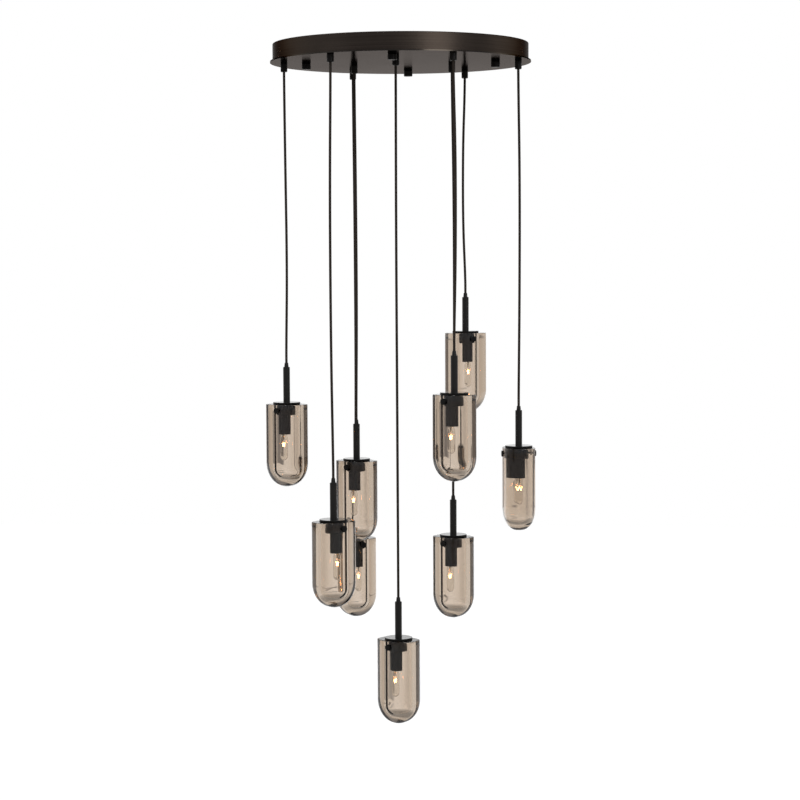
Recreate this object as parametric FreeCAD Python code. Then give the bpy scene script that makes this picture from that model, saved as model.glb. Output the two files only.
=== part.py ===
"""Cluster pendant: nine thick glass lamps on cords under one round ceiling canopy.

Millimetres, +Z up. The origin is the centre of the ceiling face, and everything hangs below it.
A lamp is worked out once about its own centre line, with zero height at the rim of its glass and
its thumb screws along Y. It is then turned, lowered to its own drop and put under its cord grip.
"""

import FreeCAD, Part
import math
import os

# Canopy
CANOPY_FACE_D = 610.0
CANOPY_FACE_T = 3.0
CANOPY_LIP = 6.0
CANOPY_WALL_D = CANOPY_FACE_D - 2 * CANOPY_LIP
CANOPY_WALL_H = 40.0
CANOPY_SHEET_T = 1.6
CANOPY_EDGE_RETURN = 9.0
CANOPY_EDGE_ROUND = 1.5

# Where the cords leave the canopy
OUTER_RING_INSET = 24.0
OUTER_RING_D = CANOPY_WALL_D - 2 * OUTER_RING_INSET
INNER_RING_D = 268.0

# Ceiling bracket: a hub plate over the ceiling box, with four channelled arms
STUD_RING_D = 444.0
STUD_COUNT = 4
STUD_D = 5.0
STUD_HOLE_CLEARANCE = 0.5
STUD_FOOT_D = 9.0
STUD_FOOT_T = 1.5
STUD_SHORT_OF_THREAD = 1.0
BRACKET_T = 2.5
BRACKET_ARM_W = 32.0
BRACKET_RIB_H = 8.0
BRACKET_ARM_PAST_STUD = 14.0
BRACKET_HUB_D = 136.0
BRACKET_WIRE_HOLE_D = 34.0
BOX_SLOT_SPACING = 89.0
BOX_SLOT_W = 5.4
BOX_SLOT_L = 24.0

# Thumb nuts that hold the canopy up on the studs
NUT_D = 21.0
NUT_H = 13.0
NUT_CHAMFER = 1.0
NUT_THREAD_DEPTH = 10.0
NUT_THREAD_CLEARANCE = 0.1

# Cord grips, one for each cord, with a lock nut inside the canopy
GRIP_D = 16.0
GRIP_H = 18.0
GRIP_TAPER_H = 2.0
GRIP_TIP_D = 14.0
GRIP_THREAD_D = 10.0
GRIP_THREAD_ABOVE = 7.0
GRIP_HOLE_CLEARANCE = 0.4
GRIP_FLARE_H = 7.0
GRIP_FLARE_D = 8.8
LOCKNUT_ACROSS_FLATS = 16.0
LOCKNUT_H = 4.0
THREAD_CLEARANCE = 0.1

# Cords
CORD_D = 6.0
CORD_CLEARANCE = 0.3
TAIL_BEND_R = 12.5
TAIL_SIDE_STEP = 5.0
TAIL_SIDE_BEND_R = 60.0
TAIL_PAST_STUD = 64.0
SPLICE_HOUSING_D = 84.0
SPLICE_HOUSING_H = 28.0
SPLICE_HOUSING_CHAMFER = 3.0

# Stem: a tube on the glass's cap, closed at its top by a bush that the cord passes through
STEM_D = 16.0
STEM_L = 83.0
STEM_EDGE = 0.8
BUSH_H = 10.0
BUSH_BASE_D = 10.5
BUSH_TIP_D = 8.6
BUSH_DEPTH = 12.0
SET_SCREW_D = 4.0
SET_SCREW_FROM_TOP = 15.0
SET_SCREW_PROUD = 0.5

# Cap disc, plug, and the threaded nipple that clamps them to the stem
CAP_D = 64.0
CAP_T = 5.0
CAP_EDGE = 0.8
PLUG_D = 47.5
PLUG_H = 25.0
PLUG_EDGE = 1.0
NIPPLE_D = 10.0
NIPPLE_BORE_D = 7.2
NIPPLE_IN_STEM = 20.0
NIPPLE_PAST_SOCKET_TOP = 4.0

# Thumb screws that pin the glass to the plug
THUMB_HEAD_D = 14.5
THUMB_HEAD_H = 4.0
THUMB_HEAD_ROUND = 1.2
THUMB_SHANK_D = 4.0
THUMB_TO_RECESS = 1.0
THUMB_BELOW_RIM = 14.0
GLASS_HOLE_D = 7.0

# Socket cover and the lamp socket inside it
SOCKET_COVER_D = 33.5
SOCKET_COVER_T = 1.4
SOCKET_BOTTOM = 71.0
SOCKET_IN_PLUG = 9.0
SOCKET_LIP = 3.0
SOCKET_INSERT_CLEARANCE = 0.2
SOCKET_INSERT_H = 34.0
SOCKET_MOUTH_D = 20.0
SOCKET_MOUTH_H = 5.0

# Glass shade
GLASS_BREADTH = 100.0
GLASS_DEPTH = 74.0
GLASS_H = 196.0
GLASS_DOME_H = 58.0
GLASS_SQUARENESS = 2.8
GLASS_SIDE_FULLNESS = 2.4
GLASS_BORE_D = 56.0
GLASS_BASE_T = 20.0
GLASS_BORE_ROUND = 23.0
GLASS_RIM_ROUND = 1.5
OVAL_POINT_COUNT = 24

# Bulb
BULB_D = 18.0
BULB_BELOW_SOCKET = 63.0
BULB_WALL = 0.9
BULB_BASE_D = 11.9
BULB_BASE_H = 15.0
BULB_TIP_D = 5.0
BULB_TIP_H = 2.0
BULB_THREAD_CLEARANCE = 0.3
FILAMENT_BELOW_SOCKET = 26.0
FILAMENT_LOOP_D = 9.0
FILAMENT_WIRE_D = 1.0
FILAMENT_LEG_D = 0.7
FILAMENT_POST_D = 4.5
FILAMENT_TO_POST = 12.0
FILAMENT_SHOULDER_H = 1.5
BULB_BASE_CHAMFER = 1.5

# The drop of the lowest lamp, which sets the height of the whole light
LONGEST_DROP = 1380.0

# Each lamp: name, ring, place on the ring in degrees, drop from the ceiling to the glass's rim,
# and the direction in degrees that its front thumb screw faces
LAMPS = (
    ("a", OUTER_RING_D, 180, 843, -122),
    ("b", OUTER_RING_D, 240, 1093, -45),
    ("c", INNER_RING_D, 150, 983, -124),
    ("d", OUTER_RING_D, 120, 1193, -54),
    ("e", INNER_RING_D, 270, LONGEST_DROP, -125),
    ("f", OUTER_RING_D, 300, 805, -127),
    ("g", OUTER_RING_D, 60, 683, -57),
    ("h", INNER_RING_D, 30, 1165, -127),
    ("i", OUTER_RING_D, 0, 945, -169),
)

# Heights that several pieces share, as distances from the ceiling face
FACE_TOP = -CANOPY_WALL_H
FACE_BOTTOM = FACE_TOP - CANOPY_FACE_T
GRIP_BOTTOM = FACE_BOTTOM - GRIP_H
CORD_PIVOT = GRIP_BOTTOM + GRIP_FLARE_H
GRIP_BORE_D = CORD_D + 2 * CORD_CLEARANCE
GRIP_THREAD_TOP = FACE_TOP + GRIP_THREAD_ABOVE

# Heights within one lamp, from the rim of its glass
STEM_BOTTOM = CAP_T
STEM_TOP = STEM_BOTTOM + STEM_L
BUSH_TOP = STEM_TOP + BUSH_H
SOCKET_TOP = -PLUG_H + SOCKET_IN_PLUG
SOCKET_RECESS_D = SOCKET_COVER_D + 2 * THREAD_CLEARANCE
THUMB_END = SOCKET_RECESS_D / 2 + THUMB_TO_RECESS
NIPPLE_HOLE_D = NIPPLE_D + 2 * THREAD_CLEARANCE
STEM_BORE_D = NIPPLE_HOLE_D
CORD_END = SOCKET_TOP - SOCKET_COVER_T - NIPPLE_PAST_SOCKET_TOP
BULB_SEAT = -SOCKET_BOTTOM + SOCKET_LIP + SOCKET_MOUTH_H

UP = FreeCAD.Vector(0, 0, 1)
CENTRE = FreeCAD.Vector(0, 0, 0)


def at(x, y, z):
    """A point."""
    return FreeCAD.Vector(x, y, z)


def rod(diameter, low, high, x=0.0, y=0.0):
    """An upright cylinder between two heights."""
    return Part.makeCylinder(diameter / 2, high - low, at(x, y, low), UP)


def on_ring(diameter, angle):
    """The plan position at an angle on a ring."""
    turn = math.radians(angle)
    return diameter / 2 * math.cos(turn), diameter / 2 * math.sin(turn)


def even_angles(count):
    """Angles that share a full turn evenly."""
    return [360.0 * n / count for n in range(count)]


def turned_profile(points):
    """A solid of revolution about Z, from a closed outline of (radius, height) corners."""
    corners = [at(radius, 0, height) for radius, height in points]
    face = Part.Face(Part.makePolygon(corners + corners[:1]))
    return face.revolve(CENTRE, UP, 360)


def edges_at_height(shape, height, tolerance=0.01):
    """The edges that lie wholly at one height."""
    found = []
    for edge in shape.Edges:
        box = edge.BoundBox
        if abs(box.ZMin - height) < tolerance and abs(box.ZMax - height) < tolerance:
            found.append(edge)
    return found


def save(name, solids):
    """Write one node, of one solid or of several separate solids."""
    shape = solids[0] if len(solids) == 1 else Part.makeCompound(solids)
    shape.exportStep("parts/" + name + ".step")
    volume = sum(solid.Volume for solid in solids)
    print(name, "solids", len(solids), "valid", shape.isValid(), "volume", round(volume))


def canopy_pan():
    """The pan: a flat face a little wider than its wall, whose top edge is turned inwards."""
    wall_r = CANOPY_WALL_D / 2
    inner_r = wall_r - CANOPY_SHEET_T
    face_r = CANOPY_FACE_D / 2
    outline = (
        (0, FACE_BOTTOM),
        (face_r, FACE_BOTTOM),
        (face_r, FACE_TOP),
        (wall_r, FACE_TOP),
        (wall_r, 0),
        (wall_r - CANOPY_EDGE_RETURN, 0),
        (wall_r - CANOPY_EDGE_RETURN, -CANOPY_SHEET_T),
        (inner_r, -CANOPY_SHEET_T),
        (inner_r, FACE_TOP),
        (0, FACE_TOP),
    )
    pan = turned_profile(outline)
    for edge in edges_at_height(pan, 0):
        if abs(edge.Curve.Radius - wall_r) < 0.01:
            pan = pan.makeFillet(CANOPY_EDGE_ROUND, [edge])
            break
    holes = []
    for name, ring, angle, drop, facing in LAMPS:
        x, y = on_ring(ring, angle)
        holes.append(rod(GRIP_THREAD_D + GRIP_HOLE_CLEARANCE, FACE_BOTTOM - 1, FACE_TOP + 1, x, y))
    for angle in even_angles(STUD_COUNT):
        x, y = on_ring(STUD_RING_D, angle)
        holes.append(rod(STUD_D + STUD_HOLE_CLEARANCE, FACE_BOTTOM - 1, FACE_TOP + 1, x, y))
    return pan.cut(Part.makeCompound(holes))


def bracket_arm():
    """One arm along +X: a flat strip with both long edges turned down as ribs."""
    length = STUD_RING_D / 2 + BRACKET_ARM_PAST_STUD
    strip = Part.makeBox(length, BRACKET_ARM_W, BRACKET_T, at(0, -BRACKET_ARM_W / 2, -BRACKET_T))
    rib_start = BRACKET_HUB_D / 2 - BRACKET_T
    for side in (-BRACKET_ARM_W / 2, BRACKET_ARM_W / 2 - BRACKET_T):
        rib = Part.makeBox(
            length - rib_start,
            BRACKET_T,
            BRACKET_RIB_H + BRACKET_T,
            at(rib_start, side, -BRACKET_T - BRACKET_RIB_H),
        )
        strip = strip.fuse(rib)
    return strip


def ceiling_bracket():
    """Hub plate and arms in one pressing, with the four threaded studs fixed in its arms."""
    bracket = rod(BRACKET_HUB_D, -BRACKET_T, 0)
    stud_bottom = FACE_BOTTOM - NUT_THREAD_DEPTH + STUD_SHORT_OF_THREAD
    for angle in even_angles(STUD_COUNT):
        arm = bracket_arm()
        stud = rod(STUD_D, stud_bottom, -BRACKET_T, STUD_RING_D / 2, 0)
        stud_foot = rod(STUD_FOOT_D, -BRACKET_T - STUD_FOOT_T, -BRACKET_T, STUD_RING_D / 2, 0)
        arm = arm.multiFuse([stud, stud_foot])
        arm.rotate(CENTRE, UP, angle)
        bracket = bracket.fuse(arm)
    bracket = bracket.cut(rod(BRACKET_WIRE_HOLE_D, -BRACKET_T - 1, 1))
    for side in (-1, 1):
        bracket = bracket.cut(box_slot(side * BOX_SLOT_SPACING / 2))
    return bracket.removeSplitter()


def box_slot(x):
    """A slot along X through the hub plate, for one screw of the ceiling box."""
    run = BOX_SLOT_L - BOX_SLOT_W
    low, high = -BRACKET_T - 1, 1
    middle = Part.makeBox(run, BOX_SLOT_W, high - low, at(x - run / 2, -BOX_SLOT_W / 2, low))
    ends = [rod(BOX_SLOT_W, low, high, x - run / 2, 0), rod(BOX_SLOT_W, low, high, x + run / 2, 0)]
    return middle.multiFuse(ends).removeSplitter()


def thumb_nut():
    """A plain round nut, tapped from above and closed below."""
    top = FACE_BOTTOM
    nut = rod(NUT_D, top - NUT_H, top)
    edges = edges_at_height(nut, top) + edges_at_height(nut, top - NUT_H)
    nut = nut.makeChamfer(NUT_CHAMFER, edges)
    thread = rod(STUD_D + 2 * NUT_THREAD_CLEARANCE, top - NUT_THREAD_DEPTH, top + 1)
    return nut.cut(thread)


def cord_grip():
    """A tapered gland body under the canopy's face, with a thread that passes up through it."""
    outline = (
        (0, GRIP_BOTTOM),
        (GRIP_TIP_D / 2, GRIP_BOTTOM),
        (GRIP_D / 2, GRIP_BOTTOM + GRIP_TAPER_H),
        (GRIP_D / 2, FACE_BOTTOM),
        (GRIP_THREAD_D / 2, FACE_BOTTOM),
        (GRIP_THREAD_D / 2, GRIP_THREAD_TOP),
        (0, GRIP_THREAD_TOP),
    )
    bore = rod(GRIP_BORE_D, GRIP_BOTTOM - 1, GRIP_THREAD_TOP + 1)
    flare = Part.makeCone(
        GRIP_FLARE_D / 2, GRIP_BORE_D / 2, GRIP_FLARE_H, at(0, 0, GRIP_BOTTOM), UP
    )
    return turned_profile(outline).cut(bore).cut(flare)


def grip_locknut():
    """A hexagon nut on the grip's thread, inside the canopy."""
    corner_r = LOCKNUT_ACROSS_FLATS / 2 / math.cos(math.radians(30))
    corners = []
    for angle in even_angles(6):
        x, y = on_ring(2 * corner_r, angle)
        corners.append(at(x, y, FACE_TOP))
    hexagon = Part.Face(Part.makePolygon(corners + corners[:1]))
    nut = hexagon.extrude(at(0, 0, LOCKNUT_H))
    return nut.cut(rod(GRIP_THREAD_D + 2 * THREAD_CLEARANCE, FACE_TOP - 1, FACE_TOP + LOCKNUT_H + 1))


def rounded_path(points, radii):
    """A wire of straight runs through points, with an arc of its own radius at each inner point."""
    pieces = []
    start = points[0]
    for before, corner, after, radius in zip(points, points[1:], points[2:], radii):
        back = (before - corner).normalize()
        ahead = (after - corner).normalize()
        half_opening = back.getAngle(ahead) / 2
        arc_start = corner + back * (radius / math.tan(half_opening))
        arc_end = corner + ahead * (radius / math.tan(half_opening))
        inwards = (back + ahead).normalize()
        arc_middle = corner + inwards * (radius / math.sin(half_opening) - radius)
        pieces.append(Part.LineSegment(start, arc_start).toShape())
        pieces.append(Part.Arc(arc_start, arc_middle, arc_end).toShape())
        start = arc_end
    pieces.append(Part.LineSegment(start, points[-1]).toShape())
    return Part.Wire(pieces)


def cord_tail(ring):
    """A cord inside the canopy: up out of its grip, round a bend, and in to the splice housing.

    A cord of the outer ring steps aside on its way, to pass the stud that may stand in line.
    """
    level = GRIP_THREAD_TOP + TAIL_BEND_R
    points = [at(ring / 2, 0, CORD_PIVOT + CORD_D / 2 + CORD_CLEARANCE), at(ring / 2, 0, level)]
    radii = [TAIL_BEND_R]
    side_step = 0.0
    if ring > STUD_RING_D:
        side_step = TAIL_SIDE_STEP
        x, y = on_ring(STUD_RING_D - TAIL_PAST_STUD, side_step)
        points.append(at(x, y, level))
        radii.append(TAIL_SIDE_BEND_R)
    x, y = on_ring(SPLICE_HOUSING_D, side_step)
    points.append(at(x, y, level))
    path = rounded_path(points, radii)
    section = Part.Wire(Part.Circle(points[0], UP, CORD_D / 2).toShape())
    return path.makePipeShell([section], True, False)


def splice_housing():
    """The round housing on the canopy's face in which the nine cords meet the supply."""
    top = FACE_TOP + SPLICE_HOUSING_H
    housing = rod(SPLICE_HOUSING_D, FACE_TOP, top)
    return housing.makeChamfer(SPLICE_HOUSING_CHAMFER, edges_at_height(housing, top))


def cord(drop):
    """One hanging cord, from the throat of its grip down to the lamp socket.

    Its top is a half ball about the point where the cord bends, so that it swings in the throat.
    """
    end = -drop + CORD_END
    straight = rod(CORD_D, end, CORD_PIVOT)
    ball = Part.makeSphere(CORD_D / 2, at(0, 0, CORD_PIVOT))
    return straight.fuse(ball).removeSplitter()


def stem_tube():
    """The tube between the cord and the cap disc, with the hole for its set screw."""
    tube = rod(STEM_D, STEM_BOTTOM, STEM_TOP)
    tube = tube.makeChamfer(STEM_EDGE, edges_at_height(tube, STEM_TOP))
    tube = tube.cut(rod(STEM_BORE_D, STEM_BOTTOM - 1, STEM_TOP + 1))
    hole = Part.makeCylinder(
        SET_SCREW_D / 2 + THREAD_CLEARANCE, STEM_D, at(0, 0, STEM_TOP - SET_SCREW_FROM_TOP), at(1, 0, 0)
    )
    return tube.cut(hole)


def stem_bush():
    """The tapered neck on top of the stem, with a spigot down inside it."""
    outline = (
        (0, STEM_TOP - BUSH_DEPTH),
        (STEM_BORE_D / 2 - THREAD_CLEARANCE, STEM_TOP - BUSH_DEPTH),
        (STEM_BORE_D / 2 - THREAD_CLEARANCE, STEM_TOP),
        (BUSH_BASE_D / 2, STEM_TOP),
        (BUSH_TIP_D / 2, BUSH_TOP),
        (0, BUSH_TOP),
    )
    throat = rod(CORD_D + 2 * CORD_CLEARANCE, STEM_TOP - BUSH_DEPTH - 1, BUSH_TOP + 1)
    return turned_profile(outline).cut(throat)


def stem_set_screw():
    """A headless screw in the stem's side, whose inner end bears near the cord."""
    inner = CORD_D / 2 + CORD_CLEARANCE
    outer = STEM_D / 2 + SET_SCREW_PROUD
    height = STEM_TOP - SET_SCREW_FROM_TOP
    return Part.makeCylinder(SET_SCREW_D / 2, outer - inner, at(inner, 0, height), at(1, 0, 0))


def cap_disc():
    """The flat disc that rests on the rim of the glass."""
    disc = rod(CAP_D, 0, CAP_T)
    disc = disc.makeFillet(CAP_EDGE, edges_at_height(disc, CAP_T) + edges_at_height(disc, 0))
    return disc.cut(rod(NIPPLE_HOLE_D, -1, CAP_T + 1))


def thumb_hole(diameter, depth_from, depth_to):
    """A pair of rods on the thumb screws' line, one each side of the centre."""
    rods = []
    for side in (-1, 1):
        start = at(0, side * depth_from, -THUMB_BELOW_RIM)
        rods.append(
            Part.makeCylinder(diameter / 2, depth_to - depth_from, start, at(0, side, 0))
        )
    return rods


def plug():
    """The turned plug in the mouth of the glass: bored for the nipple, recessed for the socket."""
    body = rod(PLUG_D, -PLUG_H, 0)
    body = body.makeChamfer(PLUG_EDGE, edges_at_height(body, -PLUG_H))
    cuts = [rod(NIPPLE_HOLE_D, -PLUG_H - 1, 1), rod(SOCKET_RECESS_D, -PLUG_H - 1, SOCKET_TOP)]
    tapped_to = THUMB_END - THREAD_CLEARANCE
    cuts += thumb_hole(THUMB_SHANK_D + 2 * THREAD_CLEARANCE, tapped_to, PLUG_D)
    return body.cut(Part.makeCompound(cuts))


def nipple():
    """The threaded tube that runs from the stem through cap and plug into the socket cover."""
    low = SOCKET_TOP - SOCKET_COVER_T - NIPPLE_PAST_SOCKET_TOP
    high = STEM_BOTTOM + NIPPLE_IN_STEM
    return rod(NIPPLE_D, low, high).cut(rod(NIPPLE_BORE_D, low - 1, high + 1))


def thumb_screws():
    """Two round-headed screws through opposite walls of the glass into the plug."""
    face = GLASS_DEPTH / 2
    heads = thumb_hole(THUMB_HEAD_D, face, face + THUMB_HEAD_H)
    shanks = thumb_hole(THUMB_SHANK_D, THUMB_END, face)
    screws = []
    for head, shank in zip(heads, shanks):
        far = max(head.Edges, key=lambda edge: abs(edge.CenterOfMass.y) + edge.Length)
        head = head.makeFillet(THUMB_HEAD_ROUND, [far])
        screws.append(head.fuse(shank))
    return screws


def socket_cover():
    """The cup over the lamp socket: closed above but for the nipple, open below."""
    cup = rod(SOCKET_COVER_D, -SOCKET_BOTTOM, SOCKET_TOP)
    hollow = rod(SOCKET_COVER_D - 2 * SOCKET_COVER_T, -SOCKET_BOTTOM - 1, SOCKET_TOP - SOCKET_COVER_T)
    return cup.cut(hollow).cut(rod(NIPPLE_HOLE_D, SOCKET_TOP - SOCKET_COVER_T - 1, SOCKET_TOP + 1))


def socket_insert():
    """The insulating body that the bulb screws into."""
    low = -SOCKET_BOTTOM + SOCKET_LIP
    high = low + SOCKET_INSERT_H
    outer_d = SOCKET_COVER_D - 2 * SOCKET_COVER_T - 2 * SOCKET_INSERT_CLEARANCE
    body = rod(outer_d, low, high)
    mouth = rod(SOCKET_MOUTH_D, low - 1, BULB_SEAT)
    thread = rod(BULB_BASE_D + 2 * BULB_THREAD_CLEARANCE, low, BULB_SEAT + BULB_BASE_H + BULB_TIP_H)
    return body.cut(mouth).cut(thread)


def oval_wire(breadth, depth, height):
    """A closed oval at one height: a superellipse, whose squareness lies between oval and box."""
    power = 2.0 / GLASS_SQUARENESS
    points = []
    for angle in even_angles(OVAL_POINT_COUNT):
        c = math.cos(math.radians(angle))
        s = math.sin(math.radians(angle))
        x = math.copysign(breadth / 2 * abs(c) ** power, c)
        y = math.copysign(depth / 2 * abs(s) ** power, s)
        points.append(at(x, y, height))
    curve = Part.BSplineCurve()
    curve.interpolate(Points=points, PeriodicFlag=True)
    return Part.Wire(curve.toShape())


def glass_shade():
    """The thick glass: straight oval sides on a domed base, with a round bore and a rounded floor.

    The dome narrows as an ellipse across the breadth, and a little more fully across the depth.
    """
    dome_top = -GLASS_H + GLASS_DOME_H
    straight = Part.Face(oval_wire(GLASS_BREADTH, GLASS_DEPTH, dome_top))
    sides = straight.extrude(at(0, 0, -dome_top))
    sides = sides.makeFillet(GLASS_RIM_ROUND, edges_at_height(sides, 0))
    sections = []
    for angle in (0, 6, 20, 35, 50, 62, 72, 80, 86):
        fall = math.sin(math.radians(angle))
        breadth = GLASS_BREADTH * math.cos(math.radians(angle))
        depth = GLASS_DEPTH * (1 - fall**GLASS_SIDE_FULLNESS) ** (1 / GLASS_SIDE_FULLNESS)
        sections.append(oval_wire(breadth, depth, dome_top - GLASS_DOME_H * fall))
    sections.append(Part.Vertex(at(0, 0, -GLASS_H)))
    dome = Part.makeLoft(sections, True)
    body = sides.fuse(dome)
    body = body.cut(glass_bore())
    for edge in edges_at_height(body, 0):
        if edge.BoundBox.XLength < GLASS_BORE_D + 1:
            body = body.makeFillet(GLASS_RIM_ROUND, [edge])
            break
    return body.cut(Part.makeCompound(thumb_hole(GLASS_HOLE_D, 0, GLASS_DEPTH)))


def glass_bore():
    """The room inside the glass: a round bore that ends in a rounded floor."""
    radius = GLASS_BORE_D / 2
    floor = -GLASS_H + GLASS_BASE_T
    flat = radius - GLASS_BORE_ROUND
    corner = GLASS_BORE_ROUND * (1 - math.cos(math.radians(45)))
    rise = floor + GLASS_BORE_ROUND
    axis_low = at(0, 0, floor)
    flat_end = at(flat, 0, floor)
    arc_middle = at(radius - corner, 0, floor + corner)
    arc_end = at(radius, 0, rise)
    wall_top = at(radius, 0, 1)
    axis_top = at(0, 0, 1)
    outline = Part.Wire(
        [
            Part.LineSegment(axis_low, flat_end).toShape(),
            Part.Arc(flat_end, arc_middle, arc_end).toShape(),
            Part.LineSegment(arc_end, wall_top).toShape(),
            Part.LineSegment(wall_top, axis_top).toShape(),
            Part.LineSegment(axis_top, axis_low).toShape(),
        ]
    )
    return Part.Face(outline).revolve(CENTRE, UP, 360)


def tube_with_round_end(radius, end, top):
    """A solid tube shape that closes below in a half ball."""
    shoulder = end + radius
    middle = radius * math.cos(math.radians(45))
    low = at(0, 0, end)
    side = at(radius, 0, shoulder)
    outline = Part.Wire(
        [
            Part.Arc(low, at(middle, 0, shoulder - middle), side).toShape(),
            Part.LineSegment(side, at(radius, 0, top)).toShape(),
            Part.LineSegment(at(radius, 0, top), at(0, 0, top)).toShape(),
            Part.LineSegment(at(0, 0, top), low).toShape(),
        ]
    )
    return Part.Face(outline).revolve(CENTRE, UP, 360)


def bulb_envelope():
    """A thin tubular glass with a round end."""
    end = -SOCKET_BOTTOM - BULB_BELOW_SOCKET
    outside = tube_with_round_end(BULB_D / 2, end, BULB_SEAT)
    inside = tube_with_round_end(BULB_D / 2 - BULB_WALL, end + BULB_WALL, BULB_SEAT - BULB_WALL)
    return outside.cut(inside)


def bulb_base():
    """The screw base and its centre contact."""
    shell = rod(BULB_BASE_D, BULB_SEAT, BULB_SEAT + BULB_BASE_H)
    shell = shell.makeChamfer(BULB_BASE_CHAMFER, edges_at_height(shell, BULB_SEAT + BULB_BASE_H))
    top = BULB_SEAT + BULB_BASE_H
    return shell.fuse(rod(BULB_TIP_D, top - 1, top + BULB_TIP_H - BULB_THREAD_CLEARANCE))


def bulb_filament():
    """A glass post, two wires and the loop of filament that they carry."""
    height = -SOCKET_BOTTOM - FILAMENT_BELOW_SOCKET
    post_bottom = height + FILAMENT_TO_POST
    loop_r = FILAMENT_LOOP_D / 2
    loop = Part.makeTorus(loop_r, FILAMENT_WIRE_D / 2, at(0, 0, height), UP, 0, 360, 360)
    wires = []
    for side in (-1, 1):
        wires.append(rod(FILAMENT_LEG_D, height, post_bottom + 1, side * loop_r, 0))
    shoulder = rod(FILAMENT_LOOP_D + FILAMENT_WIRE_D, post_bottom, post_bottom + FILAMENT_SHOULDER_H)
    post = rod(FILAMENT_POST_D, post_bottom, BULB_SEAT - BULB_WALL)
    return loop.multiFuse(wires + [shoulder, post])


def placed(shape, angle, x, y, z):
    """A copy of a shape, turned about Z and then moved."""
    copy = shape.copy()
    copy.rotate(CENTRE, UP, angle)
    copy.translate(at(x, y, z))
    return copy


def build_canopy():
    """The pieces that stay still: canopy, bracket, nuts, grips and wiring."""
    save("canopy_pan", [canopy_pan()])
    save("ceiling_bracket", [ceiling_bracket()])
    nuts = []
    for angle in even_angles(STUD_COUNT):
        x, y = on_ring(STUD_RING_D, angle)
        nuts.append(placed(thumb_nut(), 0, x, y, 0))
    save("thumb_nuts", nuts)
    grips = []
    locknuts = []
    wiring = [splice_housing()]
    for name, ring, angle, drop, facing in LAMPS:
        x, y = on_ring(ring, angle)
        grips.append(placed(cord_grip(), 0, x, y, 0))
        locknuts.append(placed(grip_locknut(), angle, x, y, 0))
        wiring.append(placed(cord_tail(ring), angle, 0, 0, 0))
    save("cord_grips", grips)
    save("grip_locknuts", locknuts)
    save("canopy_wiring", wiring)


def build_lamps():
    """The nine lamps, each on its own cord."""
    groups = {
        "stem": [stem_tube(), stem_bush(), stem_set_screw()],
        "holder": [cap_disc(), plug(), nipple()] + thumb_screws(),
        "socket": [socket_cover(), socket_insert()],
        "shade": [glass_shade()],
        "bulb": [bulb_envelope(), bulb_base(), bulb_filament()],
    }
    for name, ring, angle, drop, facing in LAMPS:
        x, y = on_ring(ring, angle)
        save("cord_" + name, [placed(cord(drop), 0, x, y, 0)])
        turn = facing + 90
        for piece, solids in groups.items():
            save(piece + "_" + name, [placed(solid, turn, x, y, -drop) for solid in solids])


os.makedirs("parts", exist_ok=True)
build_canopy()
build_lamps()
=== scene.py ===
# %% [markdown]
# # A cluster pendant with nine thick glass lamps
#
# The pendant hangs from a round bronze canopy. Nine black cords come down from it at different
# lengths, and each carries a stem, a cap, a lamp socket and a heavy smoke glass with a bulb in it.
# The solid model already holds every piece at its true size. This lesson loads it, keeps the metal
# pieces as they are and gives them finishes, and builds the cords, glasses and bulbs again as
# smooth surfaces, because glass shows the smallest flat facet.
#
# All lengths are in metres. The origin is the middle of the ceiling face, and Z points up.

# %% Load the solid model as a fixed frame
import bpy
import numpy as np
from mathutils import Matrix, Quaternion, Vector


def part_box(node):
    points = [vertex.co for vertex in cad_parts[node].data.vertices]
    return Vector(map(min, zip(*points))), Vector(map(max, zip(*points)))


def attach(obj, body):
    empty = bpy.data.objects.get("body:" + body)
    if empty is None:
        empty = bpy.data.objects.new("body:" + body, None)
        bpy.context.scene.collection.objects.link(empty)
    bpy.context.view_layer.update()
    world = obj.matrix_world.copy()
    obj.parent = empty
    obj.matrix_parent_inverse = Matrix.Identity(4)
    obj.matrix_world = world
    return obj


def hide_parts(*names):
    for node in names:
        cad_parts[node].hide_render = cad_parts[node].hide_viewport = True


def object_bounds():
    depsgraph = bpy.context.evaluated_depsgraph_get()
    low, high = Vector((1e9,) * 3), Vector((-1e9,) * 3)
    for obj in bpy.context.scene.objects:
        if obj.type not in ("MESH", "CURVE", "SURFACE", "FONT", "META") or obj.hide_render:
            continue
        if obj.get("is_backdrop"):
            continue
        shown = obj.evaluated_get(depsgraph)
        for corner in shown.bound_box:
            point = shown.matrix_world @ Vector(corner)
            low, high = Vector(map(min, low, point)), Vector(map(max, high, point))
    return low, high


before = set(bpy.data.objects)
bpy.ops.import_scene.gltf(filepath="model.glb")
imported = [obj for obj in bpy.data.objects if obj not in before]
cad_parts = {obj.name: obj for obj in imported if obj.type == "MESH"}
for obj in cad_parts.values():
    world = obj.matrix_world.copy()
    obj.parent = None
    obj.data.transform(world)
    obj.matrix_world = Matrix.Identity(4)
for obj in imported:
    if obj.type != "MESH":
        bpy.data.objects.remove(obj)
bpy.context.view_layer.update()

# %% [markdown]
# ## The camera
#
# A product photograph of something this tall is taken from far away with a long lens, so that the
# near and the far lamps have almost the same size. The camera stands about five metres away, a
# little below the canopy, and looks slightly down. Its distance came from the ellipse of the
# canopy's face: the nearer the camera, the more the near edge drops below the far one.

# %% Place the camera
SENSOR = 0.036
FOCAL = 0.09657
CAMERA_PLACE = np.array([0.420, -5.043, -0.498])
CAMERA_AZIMUTH = 94.819
CAMERA_PITCH = -3.79
CAMERA_ROLL = -0.28
FARTHEST_SEEN = 60


def direction(azimuth, pitch):
    """The unit vector at an azimuth from +X towards +Y and a pitch above the horizon, in degrees."""
    turn, tilt = np.radians([azimuth, pitch])
    return np.array([np.cos(turn) * np.cos(tilt), np.sin(turn) * np.cos(tilt), np.sin(tilt)])


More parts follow.
